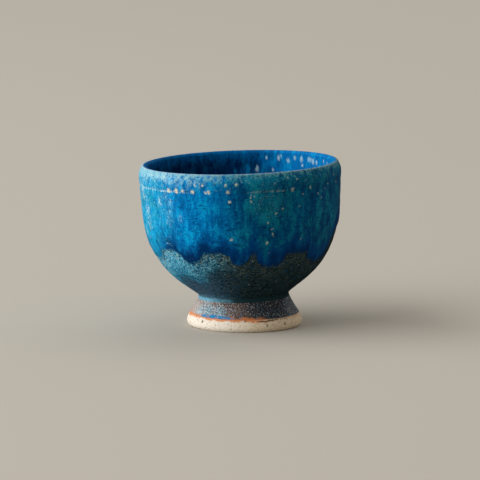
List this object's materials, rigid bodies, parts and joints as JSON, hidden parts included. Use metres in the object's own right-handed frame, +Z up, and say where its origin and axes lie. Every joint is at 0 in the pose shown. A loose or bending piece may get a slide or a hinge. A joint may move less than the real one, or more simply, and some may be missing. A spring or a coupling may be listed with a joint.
{
  "type": "sake cup",
  "caption": "Small hand-thrown stoneware sake cup: a deep rounded bowl with a turned lip band, leaning on a flared foot ring, dressed in blue running glaze.",
  "frame": {"origin": "centre of the foot ring's resting face", "axes": "+Z up, -Y towards the front, +X to the right; the bowl leans 1.8 degrees to -X and 1 degree to +Y"},
  "size_m": [0.0716, 0.0717, 0.0588],
  "materials": {
    "bowl_clay": "bare fired stoneware",
    "foot_clay": "bare fired stoneware with a few iron specks",
    "slip_clay": "fired slip",
    "base_glaze": "satin charcoal green glaze with a fine crystal web",
    "top_glaze": "satin turquoise to ultramarine running glaze",
    "liner_glaze": "satin deep blue glaze",
    "neck_glaze": "satin pale blue glaze",
    "foot_glaze": "matt umber glaze with pale blue speckles"
  },
  "bodies": {
    "root": {"bowl": "bowl_clay", "foot_ring": "foot_clay", "joint_slip": "slip_clay", "base_glaze": "base_glaze", "top_glaze": "top_glaze", "liner_glaze": "liner_glaze", "neck_glaze_roll": "neck_glaze", "foot_glaze": "foot_glaze"}
  },
  "joints": []
}
